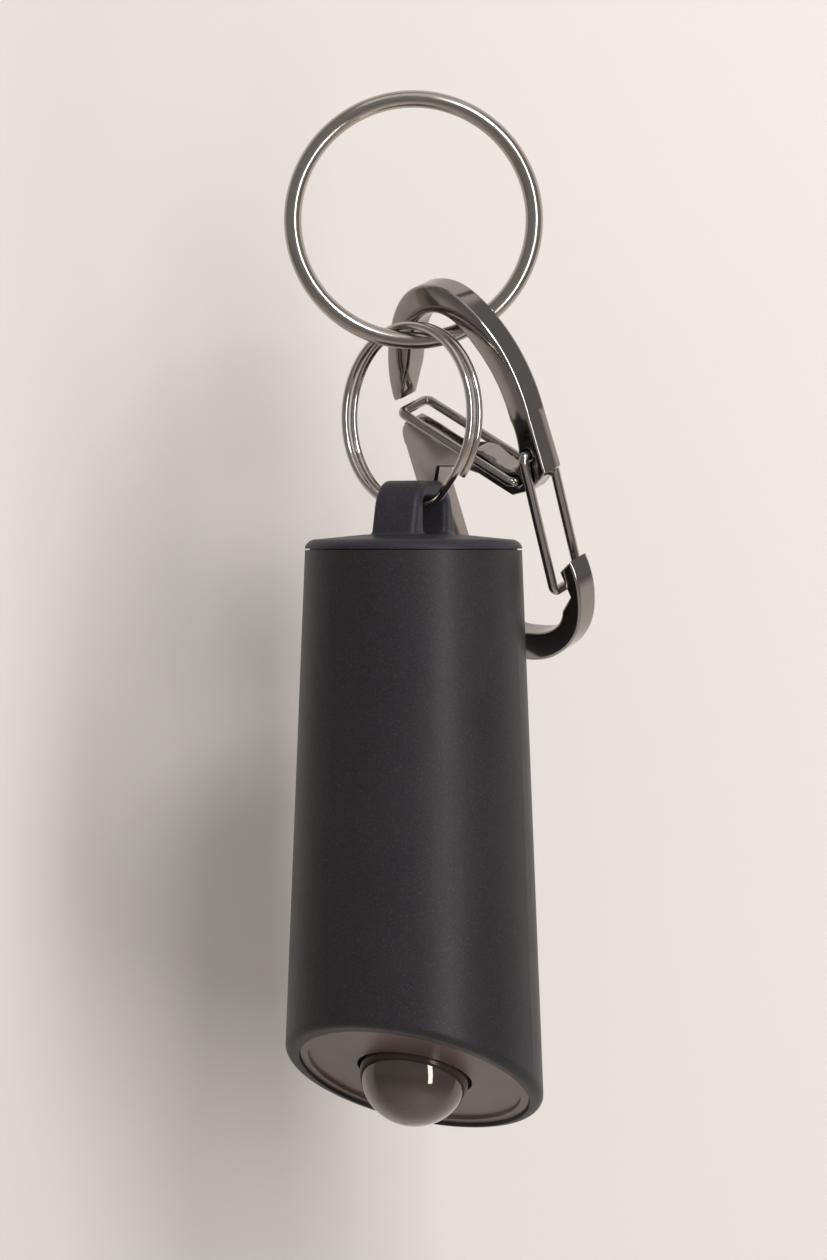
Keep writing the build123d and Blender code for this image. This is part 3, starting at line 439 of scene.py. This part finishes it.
@dataclass(frozen=True)
class SmokedDome:
    """Smoked polycarbonate that reads as a brown-grey mirror, polished in the mould.

    It gives sharp reflections over a dim warm body, with faint flow marks from the moulding.

    Attributes:
        name: The material's name.
        colour: The smoke's colour.
        roughness: Roughness of the dome under its gloss.
        mirror_share: How far it mirrors as metal does.
        gloss: Strength of the clear gloss on top.
        gloss_roughness: Roughness of that gloss.
        flow_mm: Size of the flow marks.
        flow_depth_mm: Depth of the flow marks.
        flow_strength: Strength of their bump.
        flow_shades: Brightness between which the flow marks move the colour.
    """

    name: str
    colour: str
    roughness: float = 0.05
    mirror_share: float = 0.55
    gloss: float = 0.6
    gloss_roughness: float = 0.03
    flow_mm: float = 4.0
    flow_depth_mm: float = 0.02
    flow_strength: float = 0.15
    flow_shades: tuple[float, float] = (0.9, 1.08)

    def material(self) -> bpy.types.Material:
        """Builds the node material.

        Returns:
            The material.
        """
        material, tree = blank_material(self.name)
        where = add_node(tree, "ShaderNodeTexCoord").outputs["Object"]
        flow = add_node(
            tree, "ShaderNodeTexNoise", {"Scale": per_mm(self.flow_mm), "Detail": SOFT_DETAIL},
            {"Vector": where},
        )
        shade = add_node(
            tree, "ShaderNodeMapRange",
            {"From Min": NOISE_LOW, "From Max": NOISE_HIGH,
             "To Min": self.flow_shades[0], "To Max": self.flow_shades[1]},
            {"Value": flow.outputs["Fac"]},
        )
        colour = add_node(
            tree, "ShaderNodeMix",
            {"data_type": "RGBA", "blend_type": "MULTIPLY",
             MIX_SHARE: 1.0, MIX_FIRST: linear(self.colour)},
            {MIX_SECOND: shade.outputs[0]},
        )
        bump = add_node(
            tree, "ShaderNodeBump",
            {"Strength": self.flow_strength, "Distance": self.flow_depth_mm * MM},
            {"Height": flow.outputs["Fac"]},
        )
        shader = add_node(
            tree, "ShaderNodeBsdfPrincipled",
            {"Metallic": self.mirror_share, "Roughness": self.roughness,
             "Coat Weight": self.gloss, "Coat Roughness": self.gloss_roughness},
            {"Base Color": colour.outputs[MIX_RESULT], "Normal": bump.outputs[0]},
        )
        add_node(tree, "ShaderNodeOutputMaterial", {}, {"Surface": shader.outputs[0]})
        return material


@dataclass(frozen=True)
class CircuitLaminate:
    """Glass-epoxy board under green solder mask, with a faint glass weave showing through.

    Attributes:
        name: The material's name.
        colour: The solder mask.
        weave_mm: Size of one square of the weave.
        weave_swing: How far the weave lightens and darkens the colour.
        roughness: Roughness of the mask.
        mask_ior: Refractive index of the mask.
    """

    name: str
    colour: str
    weave_mm: float = 0.5
    weave_swing: float = 0.1
    roughness: float = 0.3
    mask_ior: float = 1.55

    def material(self) -> bpy.types.Material:
        """Builds the node material.

        Returns:
            The material.
        """
        material, tree = blank_material(self.name)
        where = add_node(tree, "ShaderNodeTexCoord").outputs["Object"]
        weave = add_node(
            tree, "ShaderNodeTexChecker", {"Scale": per_mm(self.weave_mm)}, {"Vector": where}
        )
        shade = add_node(
            tree, "ShaderNodeMapRange",
            {"To Min": 1 - self.weave_swing, "To Max": 1 + self.weave_swing},
            {"Value": weave.outputs["Fac"]},
        )
        colour = add_node(
            tree, "ShaderNodeMix",
            {"data_type": "RGBA", "blend_type": "MULTIPLY",
             MIX_SHARE: 1.0, MIX_FIRST: linear(self.colour)},
            {MIX_SECOND: shade.outputs[0]},
        )
        shader = add_node(
            tree, "ShaderNodeBsdfPrincipled", {"Roughness": self.roughness, "IOR": self.mask_ior},
            {"Base Color": colour.outputs[MIX_RESULT]},
        )
        add_node(tree, "ShaderNodeOutputMaterial", {}, {"Surface": shader.outputs[0]})
        return material


def dress(node: str, material: bpy.types.Material) -> None:
    """Gives one CAD node a finish.

    Args:
        node: The node's name.
        material: Its new material.
    """
    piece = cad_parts[node]
    if not piece.material_slots:
        piece.data.materials.append(material)
    for held in piece.material_slots:
        held.material = material
    log.info("dressed %s with %s", node, material.name)


def select_only(piece: bpy.types.Object) -> None:
    """Selects one object and makes it active, with all others deselected.

    Args:
        piece: The object.
    """
    bpy.ops.object.select_all(action="DESELECT")
    piece.select_set(True)
    bpy.context.view_layer.objects.active = piece


def worked_copy(node: str, name: str, merge_mm: float = 0.002) -> bpy.types.Object:
    """Copies a CAD node's mesh and joins its loose triangles.

    Args:
        node: The node to copy.
        name: The new piece's name.
        merge_mm: How close two corners are to be one.

    Returns:
        The new object, selected alone, ready to be worked on.
    """
    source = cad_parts[node]
    piece = bpy.data.objects.new(name, source.data.copy())
    bpy.context.scene.collection.objects.link(piece)
    piece.data.materials.clear()
    select_only(piece)
    bpy.ops.object.mode_set(mode="EDIT")
    bpy.ops.mesh.select_all(action="SELECT")
    bpy.ops.mesh.remove_doubles(threshold=merge_mm * MM)
    bpy.ops.object.mode_set(mode="OBJECT")
    bpy.ops.mesh.customdata_custom_splitnormals_clear()
    return piece


def ease_face_edges(
    piece: bpy.types.Object,
    normal: Vector,
    width_mm: float,
    steps: int,
    flatness: float = 0.999,
    level_mm: float = 0.001,
) -> None:
    """Rounds the edges all round one flat side of a plate, in slopes that steepen outwards.

    Args:
        piece: The plate.
        normal: The side's direction, outward.
        width_mm: Radius of the rounding.
        steps: Slopes across it.
        flatness: How closely a face follows the normal to be on that side, one for exactly.
        level_mm: How near the side's own height a corner counts as on it.
    """
    select_only(piece)
    bpy.ops.object.mode_set(mode="EDIT")
    bpy.ops.mesh.select_all(action="DESELECT")
    mesh = bmesh.from_edit_mesh(piece.data)
    top = max(vertex.co.dot(normal) for vertex in mesh.verts)
    for face in mesh.faces:
        if face.normal.dot(normal) > flatness:
            face.select_set(True)
    bmesh.update_edit_mesh(piece.data)
    angles = [math.pi / 2 * step / steps for step in range(steps + 1)]
    insets = [width_mm * MM * (1 - math.cos(angle)) for angle in angles]
    drops = [width_mm * MM * (1 - math.sin(angle)) for angle in angles]
    for inner, outer in zip(insets[1:], insets[:-1]):
        bpy.ops.mesh.inset(thickness=inner - outer, depth=0.0, use_even_offset=False)
    # The insets lie flat, so each ring of corners round the inmost is lowered, the outer ones more.
    mesh = bmesh.from_edit_mesh(piece.data)
    ring = {vertex for face in mesh.faces if face.select for vertex in face.verts}
    for drop in reversed(drops[:-1]):
        near = {
            edge.other_vert(vertex)
            for vertex in ring
            for edge in vertex.link_edges
            if abs(edge.other_vert(vertex).co.dot(normal) - top) < level_mm * MM
        } - ring
        near = {vertex for vertex in near if not any(face.select for face in vertex.link_faces)}
        for vertex in near:
            vertex.co -= normal * drop
        ring = near
    bmesh.update_edit_mesh(piece.data)
    bpy.ops.object.mode_set(mode="OBJECT")


@dataclass
class HangingRings:
    """The key ring and the two-turn split ring that hangs on it.

    Attributes:
        key_steel: The key ring's wire, drawn and then dulled by handling.
        split_steel: The split ring's wire, with its bright nickel plating.
    """

    key_steel: BareMetal = BareMetal(
        "drawn steel wire, handled", "#b3aba4", roughness=0.13, finish=MetalFinish.HANDLED
    )
    split_steel: BareMetal = BareMetal(
        "nickel-plated spring wire", "#c2bab4", roughness=0.1, finish=MetalFinish.POLISHED
    )

    def build(self) -> None:
        """Dresses both rings."""
        dress("key_ring", self.key_steel.material())
        dress("split_ring", self.split_steel.material())


@dataclass
class SCarabiner:
    """The polished S-plate and its two wire gates.

    Attributes:
        plate_steel: The plate, dark and polished.
        gate_steel: The gates' spring wire.
        edge_mm: Radius of the rounding along both sides of the plate.
        edge_steps: Slopes across that rounding.
        smooth_degrees: Angle between faces up to which the plate is shaded smooth.
    """

    plate_steel: BareMetal = BareMetal(
        "polished dark steel plate", "#98928f", roughness=0.09, finish=MetalFinish.POLISHED
    )
    gate_steel: BareMetal = BareMetal(
        "spring steel gate wire", "#a8a19d", roughness=0.12, finish=MetalFinish.POLISHED
    )
    edge_mm: float = 0.4
    edge_steps: int = 3
    smooth_degrees: float = 40.0

    def build(self) -> None:
        """Replaces the plate by one with rounded edges and dresses the gates."""
        plate = worked_copy("carabiner_frame", "carabiner_plate")
        side = max(plate.data.polygons, key=lambda polygon: polygon.area).normal.copy()
        for normal in (side, -side):
            ease_face_edges(plate, normal, self.edge_mm, self.edge_steps)
        bpy.ops.object.shade_smooth_by_angle(angle=math.radians(self.smooth_degrees))
        plate.data.materials.append(self.plate_steel.material())
        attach(plate, "carabiner")
        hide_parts("carabiner_frame")
        log.info("built %s", plate.name)
        wire = self.gate_steel.material()
        dress("upper_gate", wire)
        dress("lower_gate", wire)


@dataclass
class PullCap:
    """The pull cap with its bail, its pin and its seal.

    Attributes:
        lacquer: The soft-touch lacquer on the cap, a little bluer than the body's.
        steel: The pin's ground steel.
        rubber: The seal's rubber.
    """

    lacquer: SoftTouchPlastic = SoftTouchPlastic(
        "soft-touch lacquer, cap", "#2f2d34", flake_colour="#4a4750", roughness=0.46
    )
    steel: BareMetal = BareMetal("ground steel pin", "#b5b3b1", roughness=0.2)
    rubber: MouldedPiece = MouldedPiece("nitrile rubber", "#1a1a1a", roughness=0.75)

    def build(self) -> None:
        """Dresses the cap, the pin and the seal."""
        dress("pull_cap", self.lacquer.material())
        dress("pull_pin", self.steel.material())
        dress("cap_seal", self.rubber.material())


@dataclass
class AlarmShell:
    """The tapered shell with its slant-cut, rounded mouth.

    Attributes:
        lacquer: The soft-touch lacquer on the body.
    """

    lacquer: SoftTouchPlastic = SoftTouchPlastic(
        "soft-touch lacquer, body", "#2b292c", flake_colour="#464347", roughness=0.42
    )

    def build(self) -> None:
        """Dresses the shell."""
        dress("body_shell", self.lacquer.material())


@dataclass
class SounderEnd:
    """The taupe cover, the smoked dome and the light behind it.

    Attributes:
        cover: The cover's satin plastic.
        dome: The dome's smoked plastic.
        lamp: The lamp's clear resin.
        mirror: The reflector's thin metal coat.
    """

    cover: MouldedPiece = MouldedPiece(
        "satin taupe ABS", "#584943", roughness=0.36, grain_mm=0.3, grain_depth_mm=0.003
    )
    dome: SmokedDome = SmokedDome("smoked mirror polycarbonate", "#5a504a")
    lamp: MouldedPiece = MouldedPiece("clear lamp resin", "#f2efe2", roughness=0.15)
    mirror: BareMetal = BareMetal("vacuum-coated reflector", "#dedede", roughness=0.12)

    def build(self) -> None:
        """Dresses the cover, the dome and the light."""
        dress("sounder_cover", self.cover.material())
        dress("dome_lens", self.dome.material())
        dress("strobe_led", self.lamp.material())
        dress("reflector", self.mirror.material())


@dataclass
class InnerWorks:
    """What else is inside the shell, most of it seen only when the alarm is taken apart.

    Attributes:
        black: Black plastic of the sound chamber, the bulkhead and the chassis.
        acetal: Slippery plastic of the pin's socket and the switch plunger.
        board: Both circuit boards.
        brass: The sounding disc and the switch's contacts.
        steel: The screws, the spring and the battery's contacts.
        ferrite: The boost coil.
        resin: The controller chip.
        sleeve: The cell's sleeve, left plain.
    """

    black: MouldedPiece = MouldedPiece("black ABS", "#2b2b2d", roughness=0.5)
    acetal: MouldedPiece = MouldedPiece("natural acetal", "#dcdbd3", roughness=0.35)
    board: CircuitLaminate = CircuitLaminate("glass-epoxy board", "#1d4f33")
    brass: BareMetal = BareMetal("rolled brass", "#c9a862", roughness=0.22)
    steel: BareMetal = BareMetal("nickel-plated strip", "#c5c4c0", roughness=0.22)
    ferrite: MouldedPiece = MouldedPiece("ferrite", "#2a2927", roughness=0.65)
    resin: MouldedPiece = MouldedPiece("chip resin", "#141416", roughness=0.55)
    sleeve: MouldedPiece = MouldedPiece("heat-shrunk cell sleeve", "#27324f", roughness=0.25)

    def build(self) -> None:
        """Dresses each inner node with what it is made of."""
        steel_nodes = (
            "bulkhead_screws", "plunger_spring", "battery_contact_top", "battery_contact_low"
        )
        for finish, nodes in (
            (self.black, ("sound_chamber", "bulkhead", "chassis")),
            (self.acetal, ("pin_socket", "switch_plunger")),
            (self.board, ("led_board", "circuit_board")),
            (self.brass, ("piezo_disc", "switch_contacts")),
            (self.steel, steel_nodes),
            (self.ferrite, ("boost_coil",)),
            (self.resin, ("controller_chip",)),
            (self.sleeve, ("battery_cell",)),
        ):
            made = finish.material()
            for node in nodes:
                dress(node, made)


@dataclass(frozen=True)
class SoftLamp:
    """One soft rectangular lamp that faces the alarm.

    Attributes:
        name: The lamp's name.
        turn_degrees: Where it stands, to the right of the camera.
        rise_degrees: How high it stands over the level.
        distance_m: How far it stands from the point it faces.
        width_m: Its width.
        height_m: Its height.
        power_w: Its power.
        colour: Its colour.
    """

    name: str
    turn_degrees: float
    rise_degrees: float
    distance_m: float
    width_m: float
    height_m: float
    power_w: float
    colour: str = "#fffefc"


@dataclass
class Studio:
    """The pale floor and wall, the lamps, the world and the camera.

    Heights are from the point that the key ring hangs from.

    Attributes:
        wall_colour: The backdrop paper.
        camera_distance_mm: From the alarm's axis to the camera.
        camera_height_mm: The camera's height, which is that of the seam under the cap.
        camera_near_mm: The nearest that the camera sees.
        lens_mm: Its focal length.
        sensor_mm: The height of its sensor.
        frame_rise: How far the lens moves the frame up, in its heights. Below zero is down.
        aim_mm: The height that the lamps face.
        wall_mm: From the alarm's axis back to the wall.
        floor_mm: The floor's height.
        sheet_m: Width of the paper, and the length that lies on the floor.
        wall_height_m: How far the paper rises.
        corner_m: Size of the bend between floor and wall.
        corner_steps: Faces across that bend.
        mottles_per_m: How fine the paper's mottle is.
        mottle_swing: How far the mottle lightens and darkens the paper.
        paper_roughness: Roughness of the paper.
        world_colour: The even surround.
        world_strength: Its strength.
        lamps: The soft lamps.
    """

    wall_colour: str = "#ebe5e1"
    camera_distance_mm: float = 450.0
    camera_height_mm: float = -50.25
    camera_near_mm: float = 10.0
    lens_mm: float = 113.0
    sensor_mm: float = 36.0
    frame_rise: float = -0.064
    aim_mm: float = -60.0
    wall_mm: float = 48.0
    floor_mm: float = -600.0
    sheet_m: float = 14.0
    wall_height_m: float = 3.2
    corner_m: float = 0.2
    corner_steps: int = 16
    mottles_per_m: float = 6.0
    mottle_swing: float = 0.03
    paper_roughness: float = 0.9
    world_colour: str = "#f0efee"
    world_strength: float = 0.33
    lamps: tuple[SoftLamp, ...] = (
        SoftLamp(
            "window key", turn_degrees=21.0, rise_degrees=36.0, distance_m=0.75,
            width_m=0.16, height_m=0.16, power_w=1.75,
        ),
        SoftLamp(
            "overhead fill", turn_degrees=10.0, rise_degrees=62.0, distance_m=1.0,
            width_m=0.9, height_m=0.7, power_w=1.2,
        ),
        SoftLamp(
            "right strip", turn_degrees=32.0, rise_degrees=8.0, distance_m=0.6,
            width_m=0.1, height_m=0.7, power_w=2.3,
        ),
    )

    def toward(self) -> Vector:
        """Gives the level direction from the alarm to the camera."""
        return Vector((math.sin(VIEW_TURN), -math.cos(VIEW_TURN), 0.0))

    def backdrop(self) -> None:
        """Lays one sheet of paper on the floor and bends it up behind the alarm as a wall."""
        toward = self.toward()
        place = UP * (self.floor_mm * MM) + toward * (self.sheet_m / 2 - self.wall_mm * MM)
        bpy.ops.object.select_all(action="DESELECT")
        bpy.ops.mesh.primitive_plane_add(
            size=self.sheet_m, location=place, rotation=(0.0, 0.0, VIEW_TURN)
        )
        sheet = bpy.context.active_object
        sheet.name = "backdrop"
        bpy.ops.object.transform_apply(location=True, rotation=True, scale=True)
        bpy.ops.object.mode_set(mode="EDIT")
        bpy.ops.mesh.select_all(action="DESELECT")
        mesh = bmesh.from_edit_mesh(sheet.data)
        rear = min(mesh.edges, key=lambda edge: sum(end.co.dot(toward) for end in edge.verts))
        rear.select_set(True)
        bmesh.update_edit_mesh(sheet.data)
        bpy.ops.mesh.extrude_edges_move(
            TRANSFORM_OT_translate={"value": (0.0, 0.0, self.wall_height_m)}
        )
        bpy.ops.mesh.select_all(action="DESELECT")
        mesh = bmesh.from_edit_mesh(sheet.data)
        for face in mesh.faces:
            face.normal_update()
            face.select_set(face.normal.dot(toward + UP) < 0)
        bmesh.update_edit_mesh(sheet.data)
        bpy.ops.mesh.flip_normals()
        bpy.ops.object.mode_set(mode="OBJECT")
        bend = sheet.modifiers.new("corner", "BEVEL")
        bend.width = self.corner_m
        bend.segments = self.corner_steps
        bpy.ops.object.modifier_apply(modifier=bend.name)
        bpy.ops.object.shade_smooth()
        sheet.data.materials.append(self.paper())
        log.info("staged %s", sheet.name)

    def paper(self) -> bpy.types.Material:
        """Builds the backdrop's matt paper, with a faint mottle, and with a back that isn't seen.

        The wall stands close behind the alarm, so a view from behind looks through its back.

        Returns:
            The material.
        """
        material, tree = blank_material("matt backdrop paper")
        where = add_node(tree, "ShaderNodeTexCoord").outputs["Object"]
        mottle = add_node(
            tree, "ShaderNodeTexNoise", {"Scale": self.mottles_per_m, "Detail": SOFT_DETAIL},
            {"Vector": where},
        )
        shade = add_node(
            tree, "ShaderNodeMapRange",
            {"To Min": 1 - self.mottle_swing, "To Max": 1 + self.mottle_swing},
            {"Value": mottle.outputs["Fac"]},
        )
        colour = add_node(
            tree, "ShaderNodeMix",
            {"data_type": "RGBA", "blend_type": "MULTIPLY",
             MIX_SHARE: 1.0, MIX_FIRST: linear(self.wall_colour)},
            {MIX_SECOND: shade.outputs[0]},
        )
        shader = add_node(
            tree, "ShaderNodeBsdfPrincipled", {"Roughness": self.paper_roughness},
            {"Base Color": colour.outputs[MIX_RESULT]},
        )
        nothing = add_node(tree, "ShaderNodeBsdfTransparent")
        seen = add_node(tree, "ShaderNodeLightPath")
        back = add_node(tree, "ShaderNodeNewGeometry")
        hidden = add_node(
            tree, "ShaderNodeMath", {"operation": "MULTIPLY"},
            {0: seen.outputs["Is Camera Ray"], 1: back.outputs["Backfacing"]},
        )
        sheet = add_node(
            tree, "ShaderNodeMixShader", {},
            {0: hidden.outputs[0], 1: shader.outputs[0], 2: nothing.outputs[0]},
        )
        add_node(tree, "ShaderNodeOutputMaterial", {}, {"Surface": sheet.outputs[0]})
        return material

    def hang(self, lamp: SoftLamp) -> None:
        """Adds one soft lamp that faces the alarm's middle.

        Args:
            lamp: Where it stands and how bright it is.
        """
        turn = VIEW_TURN + math.radians(lamp.turn_degrees)
        rise = math.radians(lamp.rise_degrees)
        way = Vector((
            math.sin(turn) * math.cos(rise), -math.cos(turn) * math.cos(rise), math.sin(rise)
        ))
        data = bpy.data.lights.new(lamp.name, "AREA")
        data.shape = "RECTANGLE"
        data.size = lamp.width_m
        data.size_y = lamp.height_m
        data.energy = lamp.power_w
        data.color = linear(lamp.colour)[:3]
        held = bpy.data.objects.new(lamp.name, data)
        bpy.context.scene.collection.objects.link(held)
        held.location = UP * (self.aim_mm * MM) + way * lamp.distance_m
        held.rotation_euler = (-way).to_track_quat("-Z", "Y").to_euler()

    def world(self) -> None:
        """Sets an even pale surround."""
        world = bpy.data.worlds.new("plain surround")
        bpy.context.scene.world = world
        world.use_nodes = True
        tree = world.node_tree
        tree.nodes.clear()
        light = add_node(
            tree, "ShaderNodeBackground",
            {"Color": linear(self.world_colour), "Strength": self.world_strength},
        )
        add_node(tree, "ShaderNodeOutputWorld", {}, {"Surface": light.outputs[0]})

    def camera(self) -> None:
        """Places the camera level with the seam under the cap, at the photograph's angle."""
        data = bpy.data.cameras.new("photograph")
        data.sensor_fit = "VERTICAL"
        data.sensor_height = self.sensor_mm
        data.lens = self.lens_mm
        data.shift_y = self.frame_rise
        data.clip_start = self.camera_near_mm * MM
        camera = bpy.data.objects.new("photograph", data)
        bpy.context.scene.collection.objects.link(camera)
        toward = self.toward()
        camera.location = (
            toward * (self.camera_distance_mm * MM) + UP * (self.camera_height_mm * MM)
        )
        camera.rotation_euler = (-toward).to_track_quat("-Z", "Y").to_euler()
        bpy.context.scene.camera = camera

    def build(self) -> None:
        """Builds the whole studio."""
        self.backdrop()
        self.world()
        self.camera()
        for lamp in self.lamps:
            self.hang(lamp)
            log.info("hung %s", lamp.name)
        bpy.context.scene.view_settings.view_transform = "Standard"


def main() -> None:
    """Builds every sub-assembly in order."""
    logging.basicConfig(level=logging.INFO)
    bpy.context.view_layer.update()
    for assembly in (
        HangingRings(), SCarabiner(), PullCap(), AlarmShell(), SounderEnd(), InnerWorks(), Studio()
    ):
        assembly.build()
        log.info("finished %s", type(assembly).__name__)


if __name__ == "__main__":
    main()
